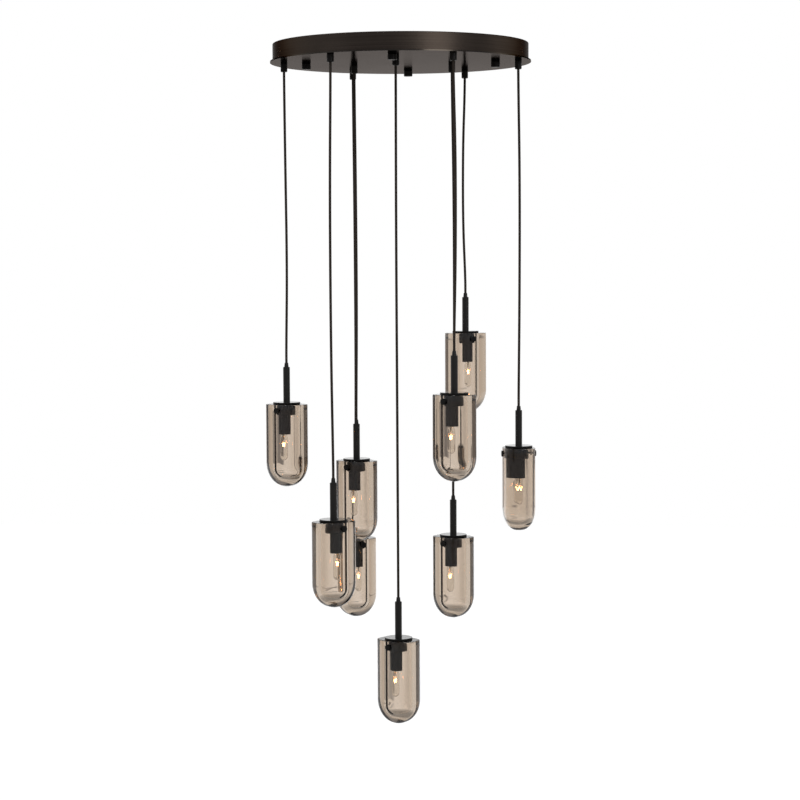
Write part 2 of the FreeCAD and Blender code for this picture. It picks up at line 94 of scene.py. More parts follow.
def aim(thing, place, towards, roll=0.0):
    """Put a lamp or camera at a place, with its own -Z along a direction and its own +Y upwards,
    then roll it about its own Z by some degrees."""
    thing.location = Vector(place)
    thing.rotation_mode = "QUATERNION"
    upright = Vector(towards).to_track_quat("-Z", "Y")
    thing.rotation_quaternion = upright @ Quaternion((0, 0, 1), np.radians(roll))


camera = bpy.data.objects.new("camera", bpy.data.cameras.new("camera"))
bpy.context.scene.collection.objects.link(camera)
bpy.context.scene.camera = camera
camera.data.sensor_width = SENSOR * 1000
camera.data.lens = FOCAL * 1000
camera.data.clip_end = FARTHEST_SEEN
aim(camera, CAMERA_PLACE, direction(CAMERA_AZIMUTH, CAMERA_PITCH), CAMERA_ROLL)
print("camera", round(float(np.linalg.norm(CAMERA_PLACE[:2])), 2), "m from the canopy's axis")

# %% [markdown]
# ## Where each lamp is
#
# The solid model knows where every lamp hangs. A cord's box is centred on the lamp's own axis, and
# the top of the glass's box is its rim. Only the way that a lamp faces has to be said again, as the
# direction in degrees of its front thumb screw.

# %% Read the lamps' places from the frame
FACING = {"a": -122, "b": -45, "c": -124, "d": -54, "e": -125, "f": -127, "g": -57, "h": -127,
          "i": -169}


def axis_of(node):
    """The middle of a node's box, seen from above."""
    low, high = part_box(node)
    return np.array([(low.x + high.x) / 2, (low.y + high.y) / 2])


LAMPS = {}
for name, facing in FACING.items():
    x, y = axis_of("cord_" + name)
    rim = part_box("shade_" + name)[1].z
    LAMPS[name] = {"x": x, "y": y, "rim": rim, "turn": np.radians(facing + 90)}
    print("lamp", name, "at", round(x, 3), round(y, 3), "rim", round(rim, 3))


def hung(points, name):
    """Points given about a lamp's own axis and rim, turned about Z and moved to where it hangs."""
    lamp = LAMPS[name]
    c, s = np.cos(lamp["turn"]), np.sin(lamp["turn"])
    points = np.asarray(points, float)
    x, y, z = points[..., 0], points[..., 1], points[..., 2]
    return np.stack([c * x - s * y + lamp["x"], s * x + c * y + lamp["y"], z + lamp["rim"]], -1)


# %% [markdown]
# ## The cords
#
# Each cord is a round black flex that carries the lamp's weight, so it hangs all but straight from
# the throat of its grip, through the bush on the stem, down to the socket. A curve with a round
# bevel is the plainest way to make it. Its line is a NURBS spline on a few points of the solid's
# route. The two points in the free stretch stand a few millimetres to the right or left, as the
# photograph shows them, since real flex keeps a trace of the drum it was wound on.
#
# Blender multiplies the bevel by each point's radius, and adds that radius to the curve's box. So
# the points carry the cord's real radius and the bevel is 1: the box then has the cord's true size.

# %% Make the nine cords
CORD_D = 0.006
CORD_PIVOT = -0.054
CORD_END = -0.0214
BUSH_TOP = 0.098
STRAIGHT_RUN = 6 * CORD_D
DRIFT_AT = (0.3, 0.7)
CORD_DRIFT = {"a": (0.0012, 0.0035), "b": (-0.0035, -0.0033), "c": (0.0020, 0.0028),
              "d": (0.0020, 0.0028), "e": (-0.0010, -0.0003), "f": (0.0045, 0.0040),
              "g": (-0.0050, -0.0055), "h": (0.0040, 0.0035), "i": (0.0032, 0.0024)}
CORD_STEPS_ALONG = 12
CORD_STEPS_AROUND = 5


def cord_route(name):
    """The control points of a cord: the throat, six diameters on, two in the free run, six diameters
    above the bush, the bush, and the end in the socket."""
    lamp = LAMPS[name]
    free_top = CORD_PIVOT - STRAIGHT_RUN
    free_bottom = lamp["rim"] + BUSH_TOP + STRAIGHT_RUN
    run = free_bottom - free_top
    upper_drift, lower_drift = CORD_DRIFT[name]
    heights = [CORD_PIVOT, free_top, free_top + run * DRIFT_AT[0], free_top + run * DRIFT_AT[1], free_bottom,
               lamp["rim"] + BUSH_TOP, lamp["rim"] + CORD_END]
    aside = [0, 0, upper_drift, lower_drift, 0, 0, 0]
    return [(lamp["x"] + d, lamp["y"], z) for d, z in zip(aside, heights)]


cords = {}
for name in LAMPS:
    route = cord_route(name)
    curve = bpy.data.curves.new("flex_" + name, "CURVE")
    curve.dimensions = "3D"
    curve.bevel_depth = 1.0
    curve.bevel_resolution = CORD_STEPS_AROUND
    curve.use_fill_caps = True
    spline = curve.splines.new("NURBS")
    spline.points.add(len(route) - 1)
    spline.points.foreach_set("co", np.append(route, np.ones((len(route), 1)), 1).ravel())
    spline.points.foreach_set("radius", np.full(len(route), CORD_D / 2))
    spline.order_u = 3
    spline.use_endpoint_u = True
    curve.resolution_u = CORD_STEPS_ALONG
    flex = bpy.data.objects.new("flex_" + name, curve)
    bpy.context.scene.collection.objects.link(flex)
    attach(flex, "hang_" + name)
    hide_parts("cord_" + name)
    length = CORD_PIVOT - (LAMPS[name]["rim"] + CORD_END)
    cords[name] = flex
    print("cord", name, round(length, 3), "m")

# %% [markdown]
# ## A skin over rings of points
#
# Every new surface in this lesson is a stack of rings: a profile gives each ring's height and size,
# and the ring itself is a circle or an oval. Joining each ring to the next gives a closed skin. The
# whole stack is worked out as one array, which is quick and keeps the shape's formula in one place.

# %% A helper that turns rings into a mesh
SMOOTH_BELOW = np.radians(40)


def ring_faces(rings, around, first):
    """Four-sided faces between neighbouring rings. `first` is the number of the first point."""
    row = first + np.arange(rings - 1)[:, None] * around
    here = np.arange(around)[None, :]
    beside = (here + 1) % around
    patches = np.stack([row + here, row + beside, row + around + beside, row + around + here], -1)
    return patches.reshape(-1, 4).tolist()


def skin(name, shells, body):
    """One piece from closed shells. A shell is (rings, first pole, last pole), with rings as an array
    of rings by points by 3. Seen from outside, the points run anticlockwise and the rings upwards."""
    points, faces = [], []
    for rings, low_pole, high_pole in shells:
        first = sum(len(p) for p in points)
        count, around = rings.shape[:2]
        faces += ring_faces(count, around, first)
        points.append(rings.reshape(-1, 3))
        here = np.arange(around)
        beside = (here + 1) % around
        last_row = first + (count - 1) * around
        pole = first + count * around
        faces += np.stack([np.full(around, pole), first + beside, first + here], -1).tolist()
        faces += np.stack([np.full(around, pole + 1), last_row + here, last_row + beside], -1).tolist()
        points.append(np.array([low_pole, high_pole], float))
    mesh = bpy.data.meshes.new(name)
    mesh.from_pydata(np.concatenate(points).tolist(), [], faces)
    mesh.polygons.foreach_set("use_smooth", np.ones(len(mesh.polygons), bool))
    mesh.set_sharp_from_angle(angle=SMOOTH_BELOW)
    piece = bpy.data.objects.new(name, mesh)
    bpy.context.scene.collection.objects.link(piece)
    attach(piece, body)
    return piece


def turned(profile, around):
    """A profile of (radius, height) turned about Z: x = r cos t, y = r sin t, z = h."""
    profile = np.asarray(profile, float)
    t = np.linspace(0, 2 * np.pi, around, endpoint=False)
    r, h = profile[:, :1], profile[:, 1:]
    return np.stack([r * np.cos(t), r * np.sin(t), h + 0 * t], -1)


# %% [markdown]
# ## The glass
#
# Each glass is a thick cast block: oval outside, with straight sides that close in a dome, and a
# round bore inside that ends in a soft floor. It is one closed skin: up the dome and the sides,
# over the rounded rim, down the bore and in to the middle of its floor. The outline is a
# superellipse, which is squarer than an ellipse and softer than a rounded box.

# %% Shape the glass as one closed skin
BREADTH, DEPTH, HEIGHT = 0.100, 0.074, 0.196
DOME = 0.058
SQUARENESS = 2.8
SIDE_FULLNESS = 2.4
BORE_R = 0.028
BASE_T = 0.020
FLOOR_ROUND = 0.023
RIM_ROUND = 0.0015
FLOOR_POLE_R = 0.002
GLASS_AROUND = 144
DOME_RINGS = 44
LOWEST_RING = 88
SIDE_RINGS = 8
FLOOR_RINGS = 18
QUARTER_TURN = np.radians([18, 36, 54, 72, 90])


def oval(t, breadth, depth):
    """A superellipse: x = b/2 cos t and y = d/2 sin t, with the cosine and the sine each raised to
    the power 2 / squareness and keeping their signs."""
    c, s = np.cos(t), np.sin(t)
    power = 2 / SQUARENESS
    x = breadth / 2 * np.sign(c) * np.abs(c) ** power
    y = depth / 2 * np.sign(s) * np.abs(s) ** power
    return np.stack([x, y], -1)


def even_turns(count):
    """Values of t that share the oval's way round into equal steps, found on a fine copy of it."""
    t = np.linspace(0, 2 * np.pi, 8001)
    steps = np.linalg.norm(np.diff(oval(t, BREADTH, DEPTH), axis=0), axis=1)
    walked = np.concatenate([[0], np.cumsum(steps)])
    return np.interp(np.linspace(0, walked[-1], count, endpoint=False), walked, t)


def glass_rings():
    """All rings of the glass, from the dome's lowest ring up, over the rim and down to the floor. In
    the dome the breadth follows a circle and the depth a fuller curve: at a fall f from 0 to 1 it is
    d (1 - f^n)^(1/n), with n the fullness of the sides."""
    t = even_turns(GLASS_AROUND)
    dome_top = -HEIGHT + DOME
    rings = []

    def add(flat, height):
        rings.append(np.column_stack([flat, np.full(len(flat), height)]))

    for angle in np.radians(np.linspace(LOWEST_RING, 0, DOME_RINGS)):
        fall = np.sin(angle)
        depth = DEPTH * (1 - fall ** SIDE_FULLNESS) ** (1 / SIDE_FULLNESS)
        add(oval(t, BREADTH * np.cos(angle), depth), dome_top - DOME * fall)
    side = oval(t, BREADTH, DEPTH)
    half = np.array([BREADTH / 2, DEPTH / 2])
    slope = np.sign(side) * np.abs(side / half) ** (SQUARENESS - 1) / half
    outward = slope / np.linalg.norm(slope, axis=1, keepdims=True)
    for height in np.linspace(dome_top, -RIM_ROUND, SIDE_RINGS + 1)[1:]:
        add(side, height)
    for angle in QUARTER_TURN:
        add(side - outward * RIM_ROUND * (1 - np.cos(angle)), -RIM_ROUND * (1 - np.sin(angle)))
    brim = rings[-1][:, :2]
    ray = brim / np.linalg.norm(brim, axis=1, keepdims=True)
    mouth = ray * (BORE_R + RIM_ROUND)
    for share in (0.33, 0.67, 1.0):
        add(brim + (mouth - brim) * share, 0)
    for angle in QUARTER_TURN:
        add(ray * (BORE_R + RIM_ROUND * (1 - np.sin(angle))), -RIM_ROUND * (1 - np.cos(angle)))
    floor = -HEIGHT + BASE_T
    for height in np.linspace(-RIM_ROUND, floor + FLOOR_ROUND, SIDE_RINGS + 1)[1:]:
        add(ray * BORE_R, height)
    for angle in np.radians(np.linspace(0, 90, FLOOR_RINGS + 1)[1:]):
        inward, rise = FLOOR_ROUND * (1 - np.cos(angle)), FLOOR_ROUND * (1 - np.sin(angle))
        add(ray * (BORE_R - inward), floor + rise)
    add(ray * FLOOR_POLE_R, floor)
    return np.array(rings), (0, 0, -HEIGHT), (0, 0, floor)


glasses = {}
rings, dome_pole, floor_pole = glass_rings()
for name in LAMPS:
    shell = (hung(rings, name), hung(dome_pole, name), hung(floor_pole, name))
    glasses[name] = skin("glass_" + name, [shell], "lamp_" + name)
    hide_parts("shade_" + name)
print("glass", rings.shape[0], "rings of", rings.shape[1], "points")

# %% [markdown]
# ## The bulb
#
# A clear tubular bulb hangs in the bore. Its envelope is a glass tube less than a millimetre thick
# with a round end and a narrower neck, so it needs an outer and an inner skin: a single skin would
# bend light like a solid glass rod. The filament is a fine coil that zigzags in one upright plane,
# across the lamp from thumb screw to thumb screw, so it looks wide from one side and narrow from
# the next.

# %% Shape the bulb's envelope and filament
BULB_R = 0.011
BULB_NECK_R = 0.009
BULB_NECK_END = -0.074
BULB_SHOULDER = 0.007
BULB_WALL = 0.0009
BULB_END = -0.134
BULB_SEAT = -0.063
BULB_AROUND = 48
FILAMENT_Z = -0.0965
FILAMENT_WIDE = 0.0155
FILAMENT_RISE = 0.0046
FILAMENT_BENDS = 2.0
BEND_SHARPNESS = 0.97
COIL_R = 0.0006
COIL_WIRE_R = 0.0002
COIL_WINDINGS = 60
WINDING_STEPS = 8


def bulb_shape(wall):
    """The envelope's profile, drawn in by a wall: a half ball from its lowest point, straight sides,
    an S-shaped shoulder to the narrower neck, and a small round at the top."""
    radius, neck, end, top = BULB_R - wall, BULB_NECK_R - wall, BULB_END + wall, BULB_SEAT - wall
    fall = np.radians(np.linspace(86, 0, 16))
    low = np.column_stack([radius * np.cos(fall), end + radius - radius * np.sin(fall)])
    share = np.linspace(0, 1, 9)
    narrowing = radius + (neck - radius) * (1 - np.cos(np.pi * share)) / 2
    shoulder = np.column_stack([narrowing, BULB_NECK_END + BULB_SHOULDER * (share - 1)])
    bend = np.radians(np.linspace(0, 90, 5))
    corner = neck * 0.2
    high = np.column_stack([neck - corner * (1 - np.cos(bend)), top - corner * (1 - np.sin(bend))])
    return turned(np.concatenate([low, shoulder, high]), BULB_AROUND)


def carried(path, radius, sides):
    """A round tube along a path: at each point a circle in the plane across the path's direction."""
    along = np.gradient(path, axis=0)
    along /= np.linalg.norm(along, axis=1, keepdims=True)
    near_axis = np.where(np.abs(along[:, 2:]) > 0.9, [[1.0, 0, 0]], [[0, 0, 1.0]])
    across = np.cross(along, near_axis)
    across /= np.linalg.norm(across, axis=1, keepdims=True)
    up = np.cross(across, along)
    t = np.linspace(0, 2 * np.pi, sides, endpoint=False)[None, :, None]
    return path[:, None] + radius * (np.cos(t) * across[:, None] - np.sin(t) * up[:, None])


def tube_shell(path, radius, name, sides):
    """A closed tube along an open path, with a pole at each end."""
    rings = carried(path, radius, sides)
    return hung(rings, name), hung(path[0], name), hung(path[-1], name)


def filament_path():
    """A fine coil along a zigzag. At t from -1 to 1 across the lamp the height is a rounded zigzag,
    arcsin(s cos(pi n t)) spread to -1 to 1, with s the sharpness and n the number of bends, and the
    coil's point turns round that line."""
    t = np.linspace(-1, 1, COIL_WINDINGS * WINDING_STEPS)
    wave = np.arcsin(BEND_SHARPNESS * np.cos(np.pi * FILAMENT_BENDS * t)) / np.arcsin(BEND_SHARPNESS)
    phase = np.linspace(0, 2 * np.pi * COIL_WINDINGS, len(t))
    along = FILAMENT_WIDE / 2 * t + COIL_R * np.sin(phase)
    return np.column_stack([COIL_R * np.cos(phase), along, FILAMENT_Z + FILAMENT_RISE * wave])


bulbs, filaments = {}, {}
outside = bulb_shape(0.0)
inside = bulb_shape(BULB_WALL)[::-1]
coil = filament_path()
for name in LAMPS:
    outer = (hung(outside, name), hung((0, 0, BULB_END), name), hung((0, 0, BULB_SEAT), name))
    top_pole, end_pole = (0, 0, BULB_SEAT - BULB_WALL), (0, 0, BULB_END + BULB_WALL)
    inner = (hung(inside, name), hung(top_pole, name), hung(end_pole, name))
    bulbs[name] = skin("bulb_glass_" + name, [outer, inner], "lamp_" + name)
    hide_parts("bulb_" + name)
    wire = tube_shell(coil, COIL_WIRE_R, name, sides=5)
    filaments[name] = skin("filament_" + name, [wire], "lamp_" + name)
print("coil", len(coil), "points along its wire")

# %% [markdown]
# ## What holds the filament
#
# Two wires run up from the filament's ends into the bulb's top, where a short post stands, and the
# screw base goes on from there into the socket. The post and the base are turned shapes and the
# wires are tubes, and all of them together are one piece. Only their lower ends show, through the
# glass.

# %% Make the wires, the post and the base
MOUNT_TOP = BULB_SEAT - BULB_WALL - 0.0005
LEG_R = 0.0003
LEG_HEIGHTS = (-0.086, -0.076)
POST_FOOT = -0.0845
POST = [(0.0012, -0.084), (0.0016, -0.080), (0.0016, -0.074),
        (0.0042, MOUNT_TOP + 0.0003), (0.0042, MOUNT_TOP + 0.0004)]
BASE_TOP = BULB_SEAT + 0.0166
BASE_FOOT = BULB_SEAT + 0.0002
BASE = [(0.0058, BASE_FOOT), (0.00595, BULB_SEAT + 0.001), (0.00595, BULB_SEAT + 0.0135),
        (0.0045, BULB_SEAT + 0.015), (0.0024, BULB_SEAT + 0.0155), (0.0022, BASE_TOP)]


def leg_path(end):
    """A wire from an end of the filament: up, a little inwards, and in to the foot of the post."""
    x, y, z = end
    low, high = LEG_HEIGHTS
    return np.array([(x, y, z), (x, y * 0.97, low), (x, y * 0.6, high), (x * 0.3, y * 0.3, MOUNT_TOP)])


def turned_shell(profile, foot, around, name):
    """A profile turned about the lamp's axis, closed by a point at the foot's height and a flat top."""
    low, high = (0, 0, foot), (0, 0, profile[-1][1])
    return hung(turned(profile, around), name), hung(low, name), hung(high, name)


bases = {}
for name in LAMPS:
    legs = [tube_shell(leg_path(end), LEG_R, name, sides=6) for end in (coil[0], coil[-1])]
    post = turned_shell(POST, POST_FOOT, 24, name)
    base = turned_shell(BASE, BASE_FOOT, 32, name)
    bases[name] = skin("bulb_mount_" + name, [*legs, post, base], "lamp_" + name)
print("bulb bases", len(bases))

# %% [markdown]
# ## Finishes as sums
#
# A finish is easier to read as a sum than as a web of nodes. The class below wraps one socket, so
# that `1 - dust * 0.3` adds the Math nodes by itself. One method adds any other node from its type,
# its settings and what goes into its sockets.

# %% A small language for finishes
class Wire:
    """One socket of a finish. Sums, differences and products with it add Math nodes and give a new
    Wire."""

    def __init__(self, finish, socket):
        self.finish, self.socket = finish, socket

    def __add__(self, other):
        return self.finish.sum("ADD", self, other)

    def __sub__(self, other):
        return self.finish.sum("SUBTRACT", self, other)

    def __rsub__(self, other):
        return self.finish.sum("SUBTRACT", other, self)

    def __mul__(self, other):
        return self.finish.sum("MULTIPLY", self, other)

    __radd__ = __add__
    __rmul__ = __mul__


class Finish:
    """One material: its nodes, and the surface that they end in."""

    def __init__(self, name, kind="materials", end="ShaderNodeOutputMaterial"):
        self.material = getattr(bpy.data, kind).new(name)
        self.material.use_nodes = True
        self.tree = self.material.node_tree
        self.tree.nodes.clear()
        self.end = self.tree.nodes.new(end)
        self.place = self.node("ShaderNodeTexCoord", out="Object")

    def node(self, kind, out=0, settings=None, **inputs):
        """Adds a node: its settings first, then each socket's value or wire. A socket goes by its name,
        with _ for a space, or by _ and its number."""
        made = self.tree.nodes.new(kind)
        for key, value in (settings or {}).items():
            setattr(made, key, value)
        for key, value in inputs.items():
            socket = made.inputs[int(key[1:]) if key[0] == "_" else key.replace("_", " ")]
            if isinstance(value, Wire):
                self.tree.links.new(value.socket, socket)
            else:
                socket.default_value = value
        return Wire(self, made.outputs[out])

    def sum(self, operation, a, b):
        """A Math node's result for two numbers or wires."""
        return self.node("ShaderNodeMath", settings={"operation": operation}, _0=a, _1=b)

    def split(self, vector):
        """The x, y and z of a vector."""
        parts = self.node("ShaderNodeSeparateXYZ", Vector=vector).socket.node.outputs
        return [Wire(self, parts[k]) for k in range(3)]

    def join(self, x, y, z):
        """A vector from its x, y and z."""
        return self.node("ShaderNodeCombineXYZ", X=x, Y=y, Z=z)

    def reach(self, x, y):
        """The distance from the Z axis."""
        return self.sum("POWER", x * x + y * y, 0.5)

    def angle(self, x, y):
        """The angle about the Z axis, in radians."""
        return self.sum("ARCTAN2", y, x)

    def noise(self, scale, detail, roughness, vector=None):
        """A soft random pattern, with so many waves to a metre of the object, or of another vector."""
        return self.node("ShaderNodeTexNoise", Vector=vector or self.place, Scale=scale,
                         Detail=detail, Roughness=roughness)

    def level(self, value, low, high):
        """Where a value lies between low and high, from 0 to 1 and kept inside that. With low above
        high it falls instead of rising."""
        return self.node("ShaderNodeMapRange", settings={"clamp": True}, Value=value, _1=low, _2=high)

    def blend(self, share, a, b):
        """One colour or another, by a share from 0 to 1."""
        return self.node("ShaderNodeMix", out=2, settings={"data_type": "RGBA"}, _0=share, _6=a, _7=b)

    def bump(self, height, strength, distance):
        """The direction of a surface whose height varies, for a shader's Normal."""
        return self.node("ShaderNodeBump", Strength=strength, Distance=distance, Height=height)

    def ray(self, fact):
        """A fact about the ray that looks at this surface, such as Is Camera Ray."""
        return self.node("ShaderNodeLightPath", out=fact)

    def once(self, fact):
        """1 for rays that were mirrored, or went through glass, at least once, else 0."""
        return self.sum("MINIMUM", self.ray(fact), 1.0)

    def seen(self):
        """1 for rays that look at the background straight, in a mirror or through glass, else 0."""
        bent = self.sum("MAXIMUM", self.ray("Is Glossy Ray"), self.ray("Is Transmission Ray"))
        return self.sum("MAXIMUM", self.ray("Is Camera Ray"), bent)

    def shader(self, **inputs):
        """The Principled shader with these inputs."""
        return self.node("ShaderNodeBsdfPrincipled", **inputs)

    def end_in(self, shader, volume=None):
        """Joins a shader, and a volume if there is one, to the material's end."""
        self.tree.links.new(shader.socket, self.end.inputs["Surface"])
        if volume:
            self.tree.links.new(volume.socket, self.end.inputs["Volume"])
        return self.material

    def surface(self, volume=None, **inputs):
        """The Principled shader with these inputs, joined to the material's end."""
        return self.end_in(self.shader(**inputs), volume)


def put_on(material, *pieces):
    """Gives a finish to pieces or to nodes of the solid model, in every material slot they have."""
    for piece in pieces:
        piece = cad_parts[piece] if isinstance(piece, str) else piece
        if not piece.material_slots:
            piece.data.materials.append(material)
        for slot in piece.material_slots:
            slot.material = material


# %% [markdown]
# ## Brushed bronze
#
# The canopy is spun and brushed on a lathe, so its fine scratches run round it: level lines on the
# wall and rings on the face. A noise that is stretched along the way round and squeezed across it
# gives both at once, if it reads the angle, the distance from the axis and the height. The bronze
# is darkened by hand, so its colour drifts a little, and the lip has a painted highlight in patches.
# At a grazing look the darkened wall mirrors less than bare metal. The waxed face is smoother, and
# mirrors less still there. So wall and face have a shader each, and the height tells the two apart.

# %% The canopy's bronze
bronze = Finish("brushed bronze")
x, y, z = bronze.split(bronze.place)
radius = bronze.reach(x, y)
angle = bronze.angle(x, y)
STREAKS_PER_METRE = 900
FINE_STREAKS_PER_METRE = 3200
LIP_FROM, LIP_TO = 0.3025, 0.3047
WALL_FROM, FACE_FROM = -0.0396, -0.0404
across = bronze.join(angle * 0.9, radius * STREAKS_PER_METRE, z * STREAKS_PER_METRE)
finely_across = bronze.join(angle * 4, radius * FINE_STREAKS_PER_METRE, z * FINE_STREAKS_PER_METRE)
streaks = bronze.noise(1.0, 2.0, 0.6, across)
fine_streaks = bronze.noise(1.0, 1.0, 0.5, finely_across)
drift = bronze.noise(7.0, 3.0, 0.5)
# Painted highlight: the colour at the round lip is made paler, in patches, where its edge would catch the
# light.
lip_highlight = bronze.level(radius, LIP_FROM, LIP_TO) * bronze.level(drift, 0.4, 0.62)
under = bronze.level(z, WALL_FROM, FACE_FROM)
dark_bronze, warm_bronze = (0.043, 0.033, 0.027, 1), (0.072, 0.058, 0.047, 1)
dark_face, pale_face = (0.044, 0.036, 0.030, 1), (0.062, 0.053, 0.045, 1)
lip_highlight_colour = (0.12, 0.10, 0.08, 1)
patches = bronze.level(streaks + drift * 0.6, 0.6, 1.1)
wall_colour = bronze.blend(patches, dark_bronze, warm_bronze)
face_colour = bronze.blend(patches, dark_face, pale_face)
# The painted lip highlight is blended into the colour of both the wall and the face.
wall_shade = bronze.blend(lip_highlight * 0.4, wall_colour, lip_highlight_colour)
face_shade = bronze.blend(lip_highlight * 0.4, face_colour, lip_highlight_colour)
wall_roughness = 0.28 + streaks * 0.10 + drift * 0.06
face_roughness = 0.12 + streaks * 0.04 + drift * 0.03
scratches = bronze.bump(streaks * 0.6 + fine_streaks * 0.4, 0.15, 0.0001)
wall_metal = bronze.shader(Base_Color=wall_shade, Metallic=1.0, Specular_Tint=(0.31, 0.305, 0.30, 1),
                           Roughness=wall_roughness, Normal=scratches)
face_metal = bronze.shader(Base_Color=face_shade, Metallic=1.0, Specular_Tint=(0.05, 0.035, 0.025, 1),
                           Roughness=face_roughness, Normal=scratches)
wall_or_face = bronze.node("ShaderNodeMixShader", _0=under, _1=wall_metal, _2=face_metal)
put_on(bronze.end_in(wall_or_face), "canopy_pan")
print("bronze", len(bronze.tree.nodes), "nodes")

# %% [markdown]
# ## Black metal and plastic
#
# The small pieces are black, but not one black. The nuts, grips and stems are lacquered metal,
# which has a fine orange-peel skin. The holders have less of it, and the cap disc that lies on the
# glass has a clear coat that mirrors the room. The socket covers are a little bluer. The cords are
# round black flex with a dull jacket, faintly streaked along its length. One function makes all of
# them, from a colour, a roughness and the grain, depth and shine of the skin.

# %% Blacks
def black(name, colour, roughness, grain, depth, specular, stretch=(1, 1, 1), coat=0.0):
    """A black finish: a soft cloud in its colour and roughness, a finely grained skin, and, where it
    faces up, a clear coat."""
    finish = Finish(name)
    vector = finish.node("ShaderNodeMapping", Vector=finish.place, Scale=stretch)
    skin_grain = finish.noise(grain, 3.0, 0.55, vector)
    cloud = finish.noise(60.0, 3.0, 0.5)
    paler = tuple(c * 1.7 + 0.003 for c in colour)
    upward = finish.level(finish.split(finish.node("ShaderNodeTexCoord", out="Normal"))[2], 0.6, 0.9)
    return finish.surface(
        Coat_Weight=upward * coat, Coat_Roughness=0.04,
        Base_Color=finish.blend(cloud * 0.8, (*colour, 1), (*paler, 1)), Specular_IOR_Level=specular,
        Roughness=roughness + cloud * 0.12 + skin_grain * 0.06 - 0.08,
        Normal=finish.bump(skin_grain, 0.3, depth))


lacquer = black("satin black lacquer", (0.0060, 0.0052, 0.0046), 0.36, 900.0, 0.00002, 0.12)
cap_lacquer = black("holder lacquer", (0.0060, 0.0058, 0.0056), 0.42, 700.0, 0.000005, 0.08, coat=1.0)
stem_lacquer = black("stem lacquer", (0.0068, 0.0060, 0.0050), 0.42, 900.0, 0.00001, 0.28)
cover_black = black("socket cover black", (0.0068, 0.0084, 0.0110), 0.46, 800.0, 0.000005, 0.10)
jacket = black("cord jacket", (0.023, 0.0185, 0.0155), 0.6, 500.0, 0.000002, 0.02, stretch=(1, 1, 0.25))
put_on(lacquer, "thumb_nuts", "cord_grips")
for name in LAMPS:
    put_on(cap_lacquer, "holder_" + name)
    put_on(stem_lacquer, "stem_" + name)
    put_on(cover_black, "socket_" + name)
    put_on(jacket, cords[name])
print("blacks", [m.name for m in (lacquer, cap_lacquer, stem_lacquer, cover_black, jacket)])

# %% [markdown]
# ## Zinc, nickel and the hidden wiring
#
# The bracket is zinc plated steel: a pale grey with large soft crystals, which a Voronoi pattern
# gives. The lock nuts are bright nickel. The wiring inside is black flex that meets in a pale
# moulded housing, so its finish changes with the distance from the canopy's axis.

# %% Hidden metals and wiring
zinc = Finish("zinc plate")
crystal = zinc.node("ShaderNodeTexVoronoi", out="Color", Vector=zinc.place, Scale=140.0)
grain = zinc.node("ShaderNodeSeparateColor", Color=crystal)
tint = zinc.blend(grain, (0.36, 0.37, 0.38, 1), (0.52, 0.53, 0.53, 1))
put_on(zinc.surface(Base_Color=tint, Metallic=1.0, Roughness=0.42 + grain * 0.2,
                    Normal=zinc.bump(grain, 0.1, 0.0001)), "ceiling_bracket")

nickel = Finish("bright nickel")
scuffs = nickel.noise(400.0, 4.0, 0.6)
tint = nickel.blend(scuffs, (0.50, 0.48, 0.44, 1), (0.66, 0.64, 0.60, 1))
put_on(nickel.surface(Base_Color=tint, Metallic=1.0, Roughness=0.18 + scuffs * 0.2,
                      Normal=nickel.bump(scuffs, 0.15, 0.0001)), "grip_locknuts")

wiring = Finish("wiring and housing")
x, y, z = wiring.split(wiring.place)
HOUSING_R = 0.042
outside_housing = wiring.level(wiring.reach(x, y), HOUSING_R - 0.0001, HOUSING_R + 0.0001)
skin_noise = wiring.noise(700.0, 3.0, 0.6)
housing_shade = wiring.blend(skin_noise, (0.62, 0.61, 0.58, 1), (0.72, 0.71, 0.68, 1))
flex_shade = wiring.blend(skin_noise, (0.012, 0.011, 0.010, 1), (0.024, 0.022, 0.020, 1))
put_on(wiring.surface(Base_Color=wiring.blend(outside_housing, housing_shade, flex_shade),
                      Roughness=0.45 + skin_noise * 0.15,
                      Normal=wiring.bump(skin_noise, 0.2, 0.0001)), "canopy_wiring")
print("hidden finishes", zinc.material.name, nickel.material.name, wiring.material.name)

# %% [markdown]
# ## Smoke glass
#
# The glass is tinted all through, so it is dark where the light has a long way to go, as at the
# two ends of the oval and in the base, and pale where it is thin. That is what absorption in the
# volume does. The thin walls are still a little browner than absorption alone makes them, so the
# surface has a pale tint too. It is fire polished, with a very slight waviness that a bump keeps
# alive in the highlights. The bulb is thin clear glass, with a tint that can hardly be seen.

# %% Glass of the shades
GLASS_IOR = 1.5
BULB_IOR = 1.47
GLASS_SKIN = (0.925, 0.87, 0.815, 1)
GLASS_DENSITY = 18.0
GLASS_TINT = (0.41, 0.26, 0.08, 1)
smoke = Finish("smoke glass")
waves = smoke.noise(28.0, 2.0, 0.4)
absorb = smoke.node("ShaderNodeVolumeAbsorption", Color=GLASS_TINT, Density=GLASS_DENSITY)
smoke_glass = smoke.surface(
    volume=absorb, Base_Color=GLASS_SKIN, Roughness=0.0, IOR=GLASS_IOR, Transmission_Weight=1.0,
    Normal=smoke.bump(waves, 0.15, 0.0006))

clear = Finish("bulb glass")
film = clear.noise(90.0, 2.0, 0.5)
bulb_clear = clear.surface(
    Base_Color=clear.blend(film, (0.93, 0.91, 0.88, 1), (0.96, 0.95, 0.93, 1)), Roughness=0.0,
    IOR=BULB_IOR, Transmission_Weight=1.0, Normal=clear.bump(film, 0.1, 0.0003))
print("glass absorbs at", GLASS_DENSITY, "to a metre")

# %% [markdown]
# ## The glow
#
# The filament is the only thing in the lamp that gives light. Its colour is a warm orange that
# drifts along the wire, and it is so bright that it turns white where the windings lie close. The
# base, the wires and the post have the warm grey of old brass, and the filament lights them.

